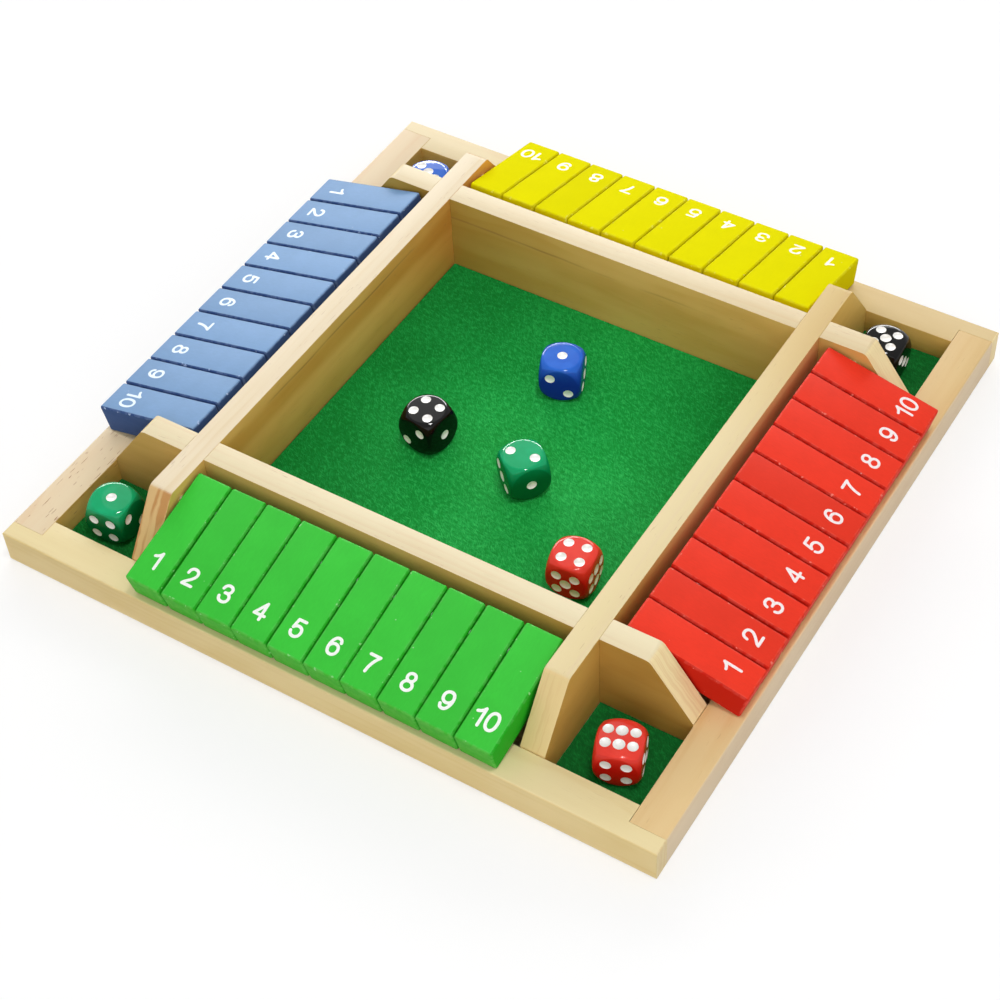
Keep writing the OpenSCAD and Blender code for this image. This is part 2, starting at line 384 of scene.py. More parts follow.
@dataclass(frozen=True)
class Paint:
    """Satin paint over wood for one row of tiles, with painted shade on the tiles' sides and ends."""

    side: Side
    colour: Colour
    # The painted shade on the tiles' sides and ends
    flank: Colour
    tip: Colour
    edge: Colour
    rough: float = 0.45
    gloss: float = 0.045
    spread: float = 0.09

    def material(self) -> bpy.types.Material:
        """Paint that shows the wood's fibres, with painted shade at sides and ends, worn edges, specks
        and a tone for each tile.
        """
        g = Graph(f"{self.side.word}_paint")
        lengthways = self.side in (Side.GREEN, Side.YELLOW)
        place = g.vector("ADD", g.spot, (self.side.value * 71.0, self.side.value * 37.0, 0.0))
        cells = (0.55, 16.0, 0.55) if lengthways else (16.0, 0.55, 0.55)
        fibre = g.noise(place, cells, 3.0, 0.6)
        cloud = g.noise(place, 11.0, 3.0)
        tone = g.ease(g.mark("tone") * 0.35 + fibre * 0.45 + cloud * 0.55, 0.15, 0.95)
        levels = (1.0 - self.spread, 1.0 + self.spread)
        colour = g.blend(tone, *(tuple(min(1.0, c * level) for c in self.colour) for level in levels))
        rub = g.noise(place, 2.2, 3.0)
        worn = g.ease(g.noise(place, 1.7, 1.0), 0.69, 0.73)
        rim = g.mark("rim")
        # Painted shade: the sides and ends of the tiles take the darker colour
        colour = g.blend(g.mark("flank"), colour, g.blend(fibre * 0.12, self.flank, self.colour))
        colour = g.blend(g.mark("tip") * (0.55 + g.ease(rub, 0.4, 0.6) * 0.35), colour, self.tip)
        colour = g.blend(rim * (g.ease(rub, 0.40, 0.62) * 0.14 + worn * 0.8), colour, self.edge)
        dots = g.node("ShaderNodeTexVoronoi", {"Vector": g.in_cells(place, 5.0), "Scale": 1.0})
        chosen = g.ease(g.part(Wire(g, dots.outputs["Color"]), "X"), 0.86, 0.88)
        speck = (1.0 - g.ease(Wire(g, dots.outputs["Distance"]), 0.03, 0.06)) * chosen
        colour = g.blend(speck * 0.4, colour, (0.85, 0.85, 0.8))
        relief = fibre * 0.6 + cloud * 0.4 + speck * 0.5
        rough = self.rough + fibre * 0.12 + rim * 0.1
        return g.surface(colour, rough, relief, 0.03 * MM, Specular_IOR_Level=self.gloss)


@dataclass(frozen=True)
class Ink:
    """Printed or pip paint, nearly white."""

    name: str
    colour: Colour
    shade: Colour
    rough: float = 0.5

    def material(self) -> bpy.types.Material:
        """Ink that lies a little unevenly."""
        g = Graph(self.name)
        patch = g.noise(g.spot, 0.7, 3.0, 0.6)
        colour = g.blend(g.ease(patch, 0.45, 0.75), self.colour, self.shade)
        return g.surface(colour, self.rough + patch * 0.1, patch, 0.02 * MM)


@dataclass(frozen=True)
class Felt:
    """Pressed green felt, a mat of short fibres that lie every way."""

    name: str
    dark: Colour = (0.003, 0.225, 0.027)
    mid: Colour = (0.012, 0.38, 0.066)
    light: Colour = (0.060, 0.62, 0.14)
    # A painted pool of light: the colour that the middle is multiplied by, and where the middle lies in
    # millimetres
    worn: Colour = (1.87, 1.38, 1.47)
    worn_mm: tuple[float, float] = (8.0, -5.0)
    ways: Triple = (14.0, 40.0, 66.0)

    def material(self) -> bpy.types.Material:
        """Mottled green with fine paler and darker fibres, under a painted pool of light towards the
        middle.
        """
        g = Graph(self.name)
        cloud = g.noise(g.spot, 22.0, 3.0)
        clot = g.noise(g.spot, (1.9, 1.4, 1.4), rough=0.6)
        lays = []
        for number, way in enumerate(self.ways):
            bent = g.jogged(g.vector("ADD", g.spot, (number * 31.0, 0.0, 0.0)), 6.0, 1.4)
            lays.append(g.noise(g.turned(bent, way), (2.8, 0.36, 1.0), 0.0))
        mat = g.ease(functools.reduce(lambda a, b: g.maths("MAXIMUM", a, b), lays), 0.50, 0.78)
        colour = g.blend(g.ease(cloud * 0.3 + clot * 0.75 + mat * 0.25, 0.36, 0.98), self.dark, self.mid)
        pale = g.ease(mat, 0.45, 1.0) * g.ease(clot, 0.42, 0.62)
        colour = g.blend(pale * 0.14, colour, self.light)
        # Painted light: brighter towards the middle, leaving the felt darker near the walls
        across, along = (abs(g.part(g.spot, axis) - middle) for axis, middle in zip("XY", self.worn_mm))
        painted_light_pool = g.ease(cloud * 10.0 - across - along * 0.35, -75.0, -15.0)
        colour = g.blend(painted_light_pool, colour, self.worn, "MULTIPLY")
        relief = clot * 0.4 + mat * 0.6
        return g.surface(colour, 0.95, relief, 0.22 * MM, Specular_IOR_Level=0.08)


@dataclass(frozen=True)
class Plastic:
    """Polished plastic for the dice."""

    name: str
    colour: Colour
    cloud: Colour
    # The colour of the painted shade on the sides and bottom
    depth: Colour

    def material(self) -> bpy.types.Material:
        """Clear colour above, painted shade on the sides and bottom, and handling marks."""
        g = Graph(self.name)
        swirl = g.noise(g.spot, 6.0)
        smear = g.noise(g.spot, 1.6, 4.0, 0.65)
        colour = g.blend(g.ease(swirl, 0.3, 0.75), self.colour, self.cloud)
        # Painted light and shade: faces that look up and sit high take the clear colour, the others the
        # darker painted shade
        colour = g.blend(g.ease(g.mark("lit"), 0.0, 1.0), self.depth, colour)
        rough = 0.03 + g.ease(smear, 0.5, 0.8) * 0.05
        return g.surface(colour, rough, swirl, 0.01 * MM, Specular_IOR_Level=0.22)


@dataclass(frozen=True)
class DrawnSteel:
    """Bright drawn wire."""

    colour: Colour = (0.74, 0.75, 0.77)

    def material(self) -> bpy.types.Material:
        """Steel with fine marks of the die and a few dull patches."""
        g = Graph("drawn_steel")
        line = g.noise(g.spot, 0.25)
        dull = g.noise(g.spot, 5.0, 3.0)
        colour = g.blend(g.ease(dull, 0.4, 0.8), self.colour, (0.55, 0.55, 0.56))
        return g.surface(colour, 0.18 + line * 0.15 + dull * 0.1, line, 0.01 * MM, Metallic=1.0)


def copy_of(node: str) -> Shape:
    """A copy of a frame node's mesh, with its loose triangles joined into whole faces."""
    shape = bmesh.new()
    shape.from_mesh(frame["nodes"][node].data)
    bmesh.ops.remove_doubles(shape, verts=shape.verts, dist=0.001 * MM)
    bmesh.ops.dissolve_limit(shape, angle_limit=math.radians(0.5), verts=shape.verts, edges=shape.edges)
    return shape


def bevel(
    shape: Shape, edges: list[bmesh.types.BMEdge], width: float, segments: int, held: bool
) -> list[bmesh.types.BMFace]:
    """Rounds edges of a shape.

    Args:
        shape: the shape.
        edges: its edges to round.
        width: the rounding's width.
        segments: how many steps it has.
        held: whether short edges hold it back.

    Returns:
        The new faces.
    """
    done = bmesh.ops.bevel(
        shape, geom=edges, offset=width, offset_type="OFFSET", segments=segments, profile=0.5,
        affect="EDGES", clamp_overlap=held, material=-1,
    )
    return done["faces"]


def sharp_edges(shape: Shape) -> list[bmesh.types.BMEdge]:
    """The edges at which two faces of a shape meet sharply."""
    return [e for e in shape.edges if e.is_manifold and e.calc_face_angle(0.0) > SHARP]


def portion(value: float, low: float, high: float) -> float:
    """How far a value has come from low to high, from 0 to 1."""
    return min(1.0, max(0.0, (value - low) / (high - low)))


def mesh_of(name: str, shape: Shape) -> bpy.types.Mesh:
    """Turns a shape into a mesh; the shape is used up."""
    mesh = bpy.data.meshes.new(name)
    shape.to_mesh(mesh)
    shape.free()
    return mesh


def placed(name: str, data: bpy.types.ID) -> bpy.types.Object:
    """A new object of the scene that shows a mesh, a lamp or a camera."""
    obj = bpy.data.objects.new(name, data)
    bpy.context.scene.collection.objects.link(obj)
    return obj


def combine(first: Shape, second: Shape, how: Cut) -> Shape:
    """Cuts one closed shape with another, or joins them.

    Args:
        first: the shape that is changed.
        second: the tool.
        how: what the tool does.

    Returns:
        The new shape; its faces keep their material numbers, and both others are used up.
    """
    pair = [placed("work", mesh_of("work", first)), placed("tool", mesh_of("tool", second))]
    change = pair[0].modifiers.new("change", "BOOLEAN")
    change.operation = how.value
    change.solver = "EXACT"
    change.object = pair[1]
    result = bmesh.new()
    result.from_object(pair[0], bpy.context.evaluated_depsgraph_get())
    for obj in pair:
        mesh = obj.data
        bpy.data.objects.remove(obj)
        bpy.data.meshes.remove(mesh)
    return result


def finish_piece(
    name: str, shape: Shape, materials: Sequence[bpy.types.Material],
    body: str, stands_for: Sequence[str] = (), crease: float = 30.0,
) -> bpy.types.Object:
    """Makes a shape a finished piece that rides on its body.

    Args:
        name: the piece's name.
        shape: its shape in the shared frame; it is used up.
        materials: its materials, by its faces' numbers.
        body: the body that it moves with.
        stands_for: the frame nodes that it replaces.
        crease: the angle in degrees past which an edge is sharp.

    Returns:
        The object.
    """
    mesh = mesh_of(name, shape)
    for material in materials:
        mesh.materials.append(material)
    mesh.shade_smooth()
    mesh.set_sharp_from_angle(angle=math.radians(crease))
    obj = placed(name, mesh)
    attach(obj, body)
    if stands_for:
        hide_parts(*stands_for)
    log.info("%s: %d faces, rides on %s", name, len(mesh.polygons), body)
    return obj


# Each board's wood; the broad faces carry painted shade, some boards painted shade towards one end, and
# the back and right boards painted shade on their tops towards the back right corner
BOARDS: dict[str, dict] = {
    "front_rail": dict(
        pale=(0.86, 0.72, 0.40), deep=(0.81, 0.65, 0.33), broad=(0.90, 0.71, 0.36),
        shade=(0.83, 0.63, 0.28), end=(0.84, 0.68, 0.38), flecks=0.08, pith_mm=(14.0, -40.0),
    ),
    "back_rail": dict(
        pale=(0.82, 0.69, 0.43), deep=(0.77, 0.59, 0.33), tan_end=1, flecks=0.1,
        pith_mm=(-12.0, -44.0),
    ),
    "left_rail": dict(
        grain=Grain.ALONG_Y, pale=(0.83, 0.68, 0.46), deep=(0.80, 0.60, 0.38), flecks=0.85,
        fleck=(0.40, 0.18, 0.08), fleck_end=-1, pith_mm=(16.0, -38.0),
    ),
    "right_rail": dict(
        grain=Grain.ALONG_Y, pale=(0.82, 0.60, 0.30), deep=(0.77, 0.51, 0.23), tan_end=1,
        tan=(0.88, 0.86, 0.78), broad=(0.82, 0.66, 0.45), shade=(0.78, 0.60, 0.39), flecks=0.2,
        pith_mm=(-18.0, -42.0),
    ),
    "front_wall": dict(
        pale=(0.85, 0.74, 0.49), broad=(0.67, 0.44, 0.13), shade=(0.57, 0.35, 0.09),
        pith_mm=(52.0, 9.0), warm_end=1, warm=(0.86, 0.76, 0.56),
    ),
    "back_wall": dict(
        pale=(0.84, 0.72, 0.49), tan_end=1, tan=(0.92, 0.88, 0.80), warm_end=-1,
        warm=(0.70, 0.70, 0.54), band=(0.93, 0.90, 0.82), vein_mm=7.4, vein_run=(-60.0, 5.0),
    ),
    "left_wall": dict(
        grain=Grain.ALONG_Y, end=(0.78, 0.52, 0.23), streak=(0.60, 0.29, 0.10), streaks=0.9,
        streak_mm=2.4, broad=(0.82, 0.52, 0.14), shade=(0.73, 0.43, 0.10), warm_end=1,
        warm=(1.0, 0.76, 0.60), vein_mm=11.4, pith_mm=(-44.0, 6.0),
    ),
    "right_wall": dict(
        grain=Grain.ALONG_Y, pale=(0.82, 0.68, 0.38), broad=(0.93, 0.51, 0.21),
        shade=(0.81, 0.42, 0.15), end=(0.87, 0.66, 0.32), pith_mm=(47.0, 12.0), warm_end=-1,
        warm=(0.72, 0.80, 0.44), far=(0.86, 1.04, 0.66), tan_end=1, tan=(0.88, 0.78, 0.60),
    ),
}


@dataclass
class BoardFrame:
    """The rails, the lapped walls, the panel under them and the rods."""

    edge: float = 0.35 * MM
    least: float = 1.2 * MM
    near: float = 0.25 * MM
    facing: tuple[tuple[str, float, float], ...] = (("ends", 0.25, 0.6), ("broad", 0.35, 0.95))
    rings: tuple[float, float] = (2.2, 3.2)

    def timber(self, number: int, node: str) -> bpy.types.Material:
        """The wood of one board, with its own stretch of grain."""
        low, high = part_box(node)
        ring = random.Random(number * 17 + 3).uniform(*self.rings)
        middle = tuple((low + high) / 2)
        return Timber(f"{node}_pine", middle, number + 1.0, ring, **BOARDS[node]).material()

    def mark_faces(self, node: str, shape: Shape) -> None:
        """Writes on each face how far it looks along its board, and how far to its broad sides, which
        take painted shade.
        """
        shape.normal_update()
        along = int(BOARDS[node].get("grain") is Grain.ALONG_Y)
        for (name, low, high), axis in zip(self.facing, (along, 1 - along)):
            layer = shape.faces.layers.float.new(name)
            for face in shape.faces:
                look = portion(abs(face.normal[axis]), low, high)
                face[layer] = look * look * (3.0 - 2.0 * look)

    def kept(self, node: str, edge: bmesh.types.BMEdge) -> bool:
        """Whether a board's edge is short, or lies in a joint with another board."""
        spot, near = (edge.verts[0].co + edge.verts[1].co) / 2, self.near
        boxes = (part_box(other) for other in BOARDS if other != node)
        return edge.calc_length() <= self.least or any(
            all(low[k] - near < spot[k] < high[k] + near for k in range(3)) for low, high in boxes
        )

    def build(self) -> None:
        """Makes each board with eased edges, then the panel's finish and the rods."""
        for number, node in enumerate(BOARDS):
            shape = copy_of(node)
            edges = [edge for edge in sharp_edges(shape) if not self.kept(node, edge)]
            bevel(shape, edges, self.edge, 2, held=True)
            self.mark_faces(node, shape)
            finish_piece(f"{node}_board", shape, [self.timber(number, node)], BOARD, [node])
        panel = frame["nodes"]["base_panel"]
        panel.data.materials.clear()
        panel.data.materials.append(Sheeting().material())
        log.info("base_panel: kept from the frame")
        steel = [DrawnSteel().material()]
        rods = ["hinge_rods"]
        finish_piece("hinge_wires", copy_of(*rods), steel, BOARD, rods, crease=40.0)


def tile_place(node: str) -> tuple[Matrix, Vector, Vector]:
    """A tile's own directions about its rod, with +Y to its inner end, and its reach along them."""
    joint = next(j for j in frame["joints"] if j["child"] == node)
    centre, across = Vector(joint["pos_m"]), -Vector(joint["axis"]).normalized()
    mesh = frame["nodes"][node].data
    face = max((p for p in mesh.polygons if p.normal.z > 0.5), key=lambda p: p.area)
    up = face.normal.normalized()
    ways = (across, up.cross(across).normalized(), up)
    spread = [[(v.co - centre).dot(way) for v in mesh.vertices] for way in ways]
    matrix = Matrix.Translation(centre) @ Matrix(ways).transposed().to_4x4()
    return matrix, Vector([min(s) for s in spread]), Vector([max(s) for s in spread])


# The centre-lines of the figures, in millimetres from the middle of the foot
STROKES: dict[str, tuple] = {
    "1": (
        ((0.9, 6.5), (0.35, 5.75), (-0.5, 5.15), (-1.35, 4.85)),
        ((0.9, 6.5), (0.9, 0.5)),
    ),
    "2": (
        (
            (-1.8, 4.6), (-1.5, 5.75), (-0.8, 6.35), (0.05, 6.5), (0.95, 6.28), (1.58, 5.65),
            (1.7, 4.75), (1.35, 3.8), (0.5, 2.8), (-0.6, 1.85), (-1.45, 1.1), (-1.85, 0.5),
        ),
        ((-1.85, 0.5), (1.85, 0.5)),
    ),
    "3": (
        (
            (-1.75, 5.0), (-1.4, 5.9), (-0.75, 6.38), (0.0, 6.5), (0.85, 6.28), (1.42, 5.65),
            (1.45, 4.85), (1.0, 4.1), (0.3, 3.82), (-0.45, 3.75),
        ),
        (
            (-0.1, 3.77), (0.7, 3.68), (1.45, 3.2), (1.82, 2.35), (1.62, 1.35), (0.95, 0.7), (0.0, 0.5),
            (-0.9, 0.7), (-1.55, 1.25), (-1.85, 2.1),
        ),
    ),
    "4": (
        ((0.85, 6.5), (-1.95, 2.15)),
        ((-1.95, 2.15), (2.0, 2.15)),
        ((0.85, 6.5), (0.85, 0.5)),
    ),
    "5": (
        ((1.6, 6.45), (-1.15, 6.45)),
        ((-1.15, 6.45), (-1.62, 3.45)),
        (
            (-1.62, 3.45), (-0.95, 4.05), (0.0, 4.32), (1.0, 4.08), (1.65, 3.35), (1.82, 2.45),
            (1.55, 1.42), (0.85, 0.72), (-0.05, 0.5), (-0.95, 0.72), (-1.55, 1.28), (-1.85, 2.1),
        ),
    ),
    "6": (
        (
            (1.62, 5.25), (1.22, 6.1), (0.4, 6.48), (-0.5, 6.32), (-1.22, 5.55), (-1.65, 4.4),
            (-1.8, 3.1), (-1.62, 1.85), (-1.02, 0.85), (0.0, 0.5),
        ),
        (
            (0.0, 0.5), (0.95, 0.75), (1.62, 1.45), (1.82, 2.42), (1.58, 3.42), (0.9, 4.1), (0.0, 4.32),
            (-0.9, 4.05), (-1.52, 3.4), (-1.78, 2.7),
        ),
    ),
    "7": (
        ((-1.8, 6.45), (1.8, 6.45)),
        ((1.8, 6.45), (0.9, 5.25), (0.2, 3.8), (-0.28, 2.25), (-0.5, 0.5)),
    ),
}
# Figures that are even about their middle: each line stands for itself and its mirror image
RIGHT_HALVES: dict[str, tuple] = {
    "8": (
        ((0.0, 6.5), (1.0, 6.15), (1.42, 5.15), (1.02, 4.15), (0.0, 3.75)),
        ((0.0, 3.75), (1.2, 3.35), (1.8, 2.15), (1.25, 0.95), (0.0, 0.5)),
    ),
    "0": (
        ((0.0, 6.5), (0.95, 6.15), (1.6, 5.1), (1.82, 3.5), (1.6, 1.9), (0.95, 0.85), (0.0, 0.5)),
    ),
}
# The signs of the numbers that aren't one sign over the middle, each with its shift in millimetres
SIGNS: dict[int, tuple] = {1: (("1", 0.2),), 10: (("1", -2.55), ("0", 2.15))}


@dataclass
class Figures:
    """Plain round-ended figures, drawn as strokes; the sizes are in millimetres."""

    half: float = 0.5
    depth: float = 0.2
    proud: float = 0.05
    height: float = 7.0
    step: float = 0.004
    steps: int = 5
    around: int = 8
    level_ends: str = "068"

    def strokes(self, sign: str) -> tuple:
        """The centre-lines of one sign; a 9 is a 6 turned half round."""
        if sign == "9":
            return tuple(tuple((-x, self.height - y) for x, y in run) for run in STROKES["6"])
        if sign in RIGHT_HALVES:
            mirrored = (tuple((-x, y) for x, y in run) for run in RIGHT_HALVES[sign])
            return tuple(run for pair in zip(RIGHT_HALVES[sign], mirrored) for run in pair)
        return STROKES[sign]

    def smooth(self, points: Sequence[tuple[float, float]], level: bool) -> list[Vector]:
        """A soft curve through the points.

        Args:
            points: a stroke's points; two are a straight one.
            level: whether ends on the middle line run level.

        Returns:
            Close points along it.
        """
        spots = [Vector(p) for p in points]
        if len(spots) == 2:
            return spots
        ends = []
        for end, inner in ((spots[0], spots[1]), (spots[-1], spots[-2])):
            flat = level and abs(end.x) < TINY
            ends.append(Vector((-inner.x, inner.y)) if flat else 2 * end - inner)
        run = [ends[0], *spots, ends[1]]
        out: list[Vector] = []
        for a, b, c, d in zip(run, run[1:], run[2:], run[3:]):
            for step in range(self.steps):
                t = step / self.steps
                bend, twist = 2 * a - 5 * b + 4 * c - d, 3 * b - a - 3 * c + d
                out.append(0.5 * (2 * b + (c - a) * t + bend * t**2 + twist * t**3))
        return [*out, spots[-1]]

    def bar(self, line: Sequence[Vector], lift: float) -> Shape:
        """One stroke as a closed bar with round ends.

        Args:
            line: its centre-line.
            lift: how far its top lies below the full height.

        Returns:
            The bar, with the stroke's plane at z = 0.
        """
        ways = [(b - a).normalized() for a, b in zip(line, line[1:])]
        ways = [ways[0], *[(a + b).normalized() for a, b in zip(ways, ways[1:])], ways[-1]]
        ring = [p + Vector((-w.y, w.x)) * self.half for p, w in zip(line, ways)]
        steps = [math.pi * (0.5 - k / self.around) for k in range(1, self.around)]
        turns = [Matrix.Rotation(step, 2) for step in steps]
        ring += [line[-1] + turn @ ways[-1] * self.half for turn in turns]
        ring += [p - Vector((-w.y, w.x)) * self.half for p, w in reversed(list(zip(line, ways)))]
        ring += [line[0] - turn @ ways[0] * self.half for turn in turns]
        shape = bmesh.new()
        base = shape.faces.new([shape.verts.new((p.x * MM, p.y * MM, -self.depth * MM)) for p in ring])
        rise = bmesh.ops.extrude_face_region(shape, geom=[base])
        moved = [v for v in rise["geom"] if isinstance(v, bmesh.types.BMVert)]
        bmesh.ops.translate(shape, verts=moved, vec=(0.0, 0.0, (self.depth + self.proud - lift) * MM))
        bmesh.ops.recalc_face_normals(shape, faces=shape.faces)
        return shape

    def shape(self, number: int) -> Shape:
        """A whole number in one piece, with its middle at the origin and its top towards +Y."""
        whole: Shape | None = None
        for sign, shift in SIGNS.get(number, ((str(number), 0.0),)):
            for count, run in enumerate(self.strokes(sign)):
                part = self.bar(self.smooth(run, sign in self.level_ends), count * self.step)
                bmesh.ops.translate(part, verts=part.verts, vec=(shift * MM, -self.height / 2 * MM, 0.0))
                whole = part if whole is None else combine(whole, part, Cut.JOIN)
        return whole


# How the tiles of some rows lie: their small turns in degrees and their slides in millimetres
FANS = {
    Side.GREEN: (-0.40, 0.12, 0.08, 0.02, -0.08, -0.25, -0.50, -0.72, -0.90, -1.00),
    Side.RED: (0.0, 0.0, 0.1, 0.1, 0.0, 0.0, 0.05, 0.1, 0.1, 0.0),
}
SLIPS = {Side.RED: (-0.40, -0.38, -0.30, -0.15, -0.05, 0.0, 0.0, 0.0, 0.0, 0.0)}
LEVEL = (0.0,) * 10


@dataclass
class TileRow:
    """One player's ten hinged tiles with their printed numbers."""

    side: Side
    paint: Paint
    ink: Ink
    figures: Figures
    print_shift: float
    inner: float
    edge: float = 0.85 * MM
    heel: float = 1.0 * MM
    bore: float = 1.42 * MM
    bore_sides: int = 36
    print_gap: float = 23.9 * MM
    skew: float = 0.08
    shift: float = 0.06 * MM
    # The face turns over which the painted shade on the sides and ends comes in, and the underside that
    # has none
    beside: tuple[float, float] = (0.18, 0.50)
    below: tuple[float, float] = (-0.8, -0.3)
    under: float = -0.7

    def block(self, low: Vector, high: Vector) -> Shape:
        """A bored block with rounded edges between two corners, with its rod on the origin."""
        shape = bmesh.new()
        marks = {name: shape.faces.layers.float.new(name) for name in ("rim", "flank", "tip")}
        high = high + Vector((0.0, self.inner, 0.0))
        size, middle = high - low, (high + low) / 2
        fit = Matrix.Translation(middle) @ Matrix.Diagonal((*size, 1.0))
        bmesh.ops.create_cube(shape, size=1.0, matrix=fit)
        heel = [e for e in shape.edges if all(v.co.y > 0 and v.co.z < 0 for v in e.verts)]
        bevel(shape, heel, self.heel, 3, held=True)
        for face in bevel(shape, sharp_edges(shape), self.edge, 4, held=False):
            face[marks["rim"]] = 1.0
        for face in shape.faces:
            # Painted shade on the sides and ends
            face[marks["flank"]] = self.turned_away(face.normal)
            face[marks["tip"]] = float(face.normal.y < -0.5)
        drill = bmesh.new()
        for name in marks:
            drill.faces.layers.float.new(name)
        bore = {"radius1": self.bore, "radius2": self.bore, "depth": size.x * 1.4}
        turn = Matrix.Rotation(math.pi / 2, 4, "Y")
        bmesh.ops.create_cone(drill, cap_ends=True, segments=self.bore_sides, matrix=turn, **bore)
        return combine(shape, drill, Cut.REMOVE)

    def turned_away(self, normal: Vector) -> float:
        """How far a face looks to a side or an end of the tile, from 0 to 1, and so how much painted
        shade it takes; none for the underside.
        """
        if normal.z <= self.under:
            return 0.0
        return max(portion(abs(normal.x), *self.beside), portion(-normal.z, *self.below))

    def build(self) -> None:
        """Makes the ten tiles and their numbers."""
        paint, ink, word = self.paint.material(), self.ink.material(), self.side.word
        master: Shape | None = None
        for number in range(1, 11):
            node = f"{word}_tile_{number}"
            place, low, high = tile_place(node)
            master = master or self.block(low, high)
            choice = random.Random(self.side.value * 100 + number)
            slip = SLIPS.get(self.side, LEVEL)[number - 1] * MM + choice.uniform(-self.shift, self.shift)
            turn = FANS.get(self.side, LEVEL)[number - 1] + choice.uniform(-self.skew, self.skew)
            matrix = place @ Matrix.Rotation(math.radians(turn), 4, "Z")
            matrix @= Matrix.Translation((slip, 0.0, 0.0))
            block = master.copy()
            tone = block.faces.layers.float.new("tone")
            shade = choice.uniform(-0.5, 0.5)
            for face in block.faces:
                face[tone] = shade
            bmesh.ops.transform(block, matrix=matrix, verts=block.verts)
            finish_piece(f"{word}_block_{number}", block, [paint], node, [node])
            shape = self.figures.shape(number)
            shift = Matrix.Translation((self.print_shift, -self.print_gap, high.z))
            bmesh.ops.transform(shape, matrix=matrix @ shift, verts=shape.verts)
            finish_piece(f"{word}_number_{number}", shape, [ink], node)
        master.free()


# Each die's number on top, and its turn in degrees
THROWS: dict[str, tuple[int, float]] = {
    "blue_pit_die": (1, 20.3),
    "green_pit_die": (2, -127.7),
    "red_pit_die": (4, 187.5),
    "black_pit_die": (4, -9.1),
    "green_well_die": (1, 97.6),
    "red_well_die": (6, 108.7),
    "black_well_die": (5, 0.6),
    "blue_well_die": (3, 201.5),
}
# The colours of each plastic: clear, clouded, and the painted shade of its sides and bottom
PLASTICS: dict[str, tuple[Colour, Colour, Colour]] = {
    "green": ((0.001, 0.40, 0.145), (0.004, 0.45, 0.18), (0.001, 0.13, 0.030)),
    "red": ((0.86, 0.046, 0.028), (0.90, 0.058, 0.036), (0.56, 0.006, 0.003)),
    "black": ((0.003, 0.003, 0.003), (0.006, 0.006, 0.006), (0.002, 0.002, 0.002)),
    "blue": ((0.016, 0.13, 0.66), (0.022, 0.16, 0.72), (0.008, 0.026, 0.33)),
}


@dataclass
class Dice:
    """The eight dice: a cube rounded by a ball, with sunk white pips."""

    side: float = 16.0
    ball: float = 10.8
    blend: float = 1.9
    pip: float = 4.1
    lone_pip: float = 3.75
    sink: float = 0.65
    off: float = 3.4
    six: tuple[float, float] = (2.7, 4.5)
    turns: tuple[tuple[int, int], ...] = ((0, 0), (90, 0), (0, 90), (0, -90), (-90, 0), (180, 0))
    cuts: int = 47
    farthest: float = 12.0
    # How much a face's upward look and its height count towards the painted top light
    faced: float = 0.6
    risen: float = 0.4

    def face_turn(self, number: int) -> Matrix:
        """The turn that brings +Z to the face with this number."""
        x, y = self.turns[number - 1]
        return Euler((math.radians(x), math.radians(y), 0.0), "XYZ").to_matrix().to_4x4()

    def spots(self, number: int) -> list[tuple[float, float]]:
        """Where the pips of a face lie, in millimetres from its middle."""
        if number == 6:
            across, along = self.six
            return [(x, y) for x in (-across, across) for y in (-along, 0.0, along)]
        found = [(0.0, 0.0)] if number % 2 else []
        if number > 1:
            found += [(-self.off, self.off), (self.off, -self.off)]
        if number > 3:
            found += [(-self.off, -self.off), (self.off, self.off)]
        return found

    def body(self) -> Shape:
        """A die about the origin, with its pips' faces numbered for the second material."""
        shape = bmesh.new()
        bmesh.ops.create_cube(shape, size=self.side * MM)
        bmesh.ops.subdivide_edges(shape, edges=shape.edges, cuts=self.cuts, use_grid_fill=True)
        for vert in shape.verts:
            reach = vert.co.length / MM
            gap = (reach - self.ball) / self.blend
            softer = 0.0 if gap > self.farthest else math.log1p(math.exp(-abs(gap)))
            vert.co *= (min(reach, self.ball) - self.blend * softer * 0.5) / reach
        flat = max(vert.co.z for vert in shape.verts if vert.co.xy.length < 1.0 * MM)
        scale = self.side / 2 * MM / flat
        bmesh.ops.scale(shape, vec=(scale, scale, scale), verts=shape.verts)
        tool = bmesh.new()
        for number in range(1, 7):
            half = (self.lone_pip if number == 1 else self.pip) / 2
            radius = (half**2 + self.sink**2) / (2 * self.sink)
            for x, y in self.spots(number):
                lift = self.side / 2 + radius - self.sink
                place = self.face_turn(number) @ Matrix.Translation(Vector((x, y, lift)) * MM)
                ball = {"radius": radius * MM, "matrix": place}
                bmesh.ops.create_uvsphere(tool, u_segments=32, v_segments=24, **ball)
        for face in tool.faces:
            face.material_index = 1
        return combine(shape, tool, Cut.REMOVE)

    def build(self) -> None:
        """Makes the dice and lays each as it was thrown."""
        pips = Ink("pip_paint", (0.95, 0.95, 0.92), (0.88, 0.88, 0.84), 0.3).material()
        plastics = {}
        for word, tones in PLASTICS.items():
            plastics[word] = Plastic(f"{word}_plastic", *tones).material()
        master = self.body()
        for node, (top, yaw) in THROWS.items():
            middle = sum(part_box(node), Vector()) / 2
            turn = Matrix.Rotation(math.radians(yaw), 4, "Z") @ self.face_turn(top).inverted()
            shape = master.copy()
            bmesh.ops.transform(shape, matrix=Matrix.Translation(middle) @ turn, verts=shape.verts)
            # Painted light: each face is marked lighter the more it looks up and the higher it sits
            lit = shape.faces.layers.float.new("lit")
            for face in shape.faces:
                rise = (face.calc_center_median().z - middle.z) / (self.side / 2 * MM)
                face[lit] = portion(face.normal.z * self.faced + rise * self.risen, 0.0, 1.0)
            colour = node.split("_")[0]
            looks = [plastics[colour], pips]
            finish_piece(f"{node}_cube", shape, looks, node, [node], crease=25.0)
        master.free()


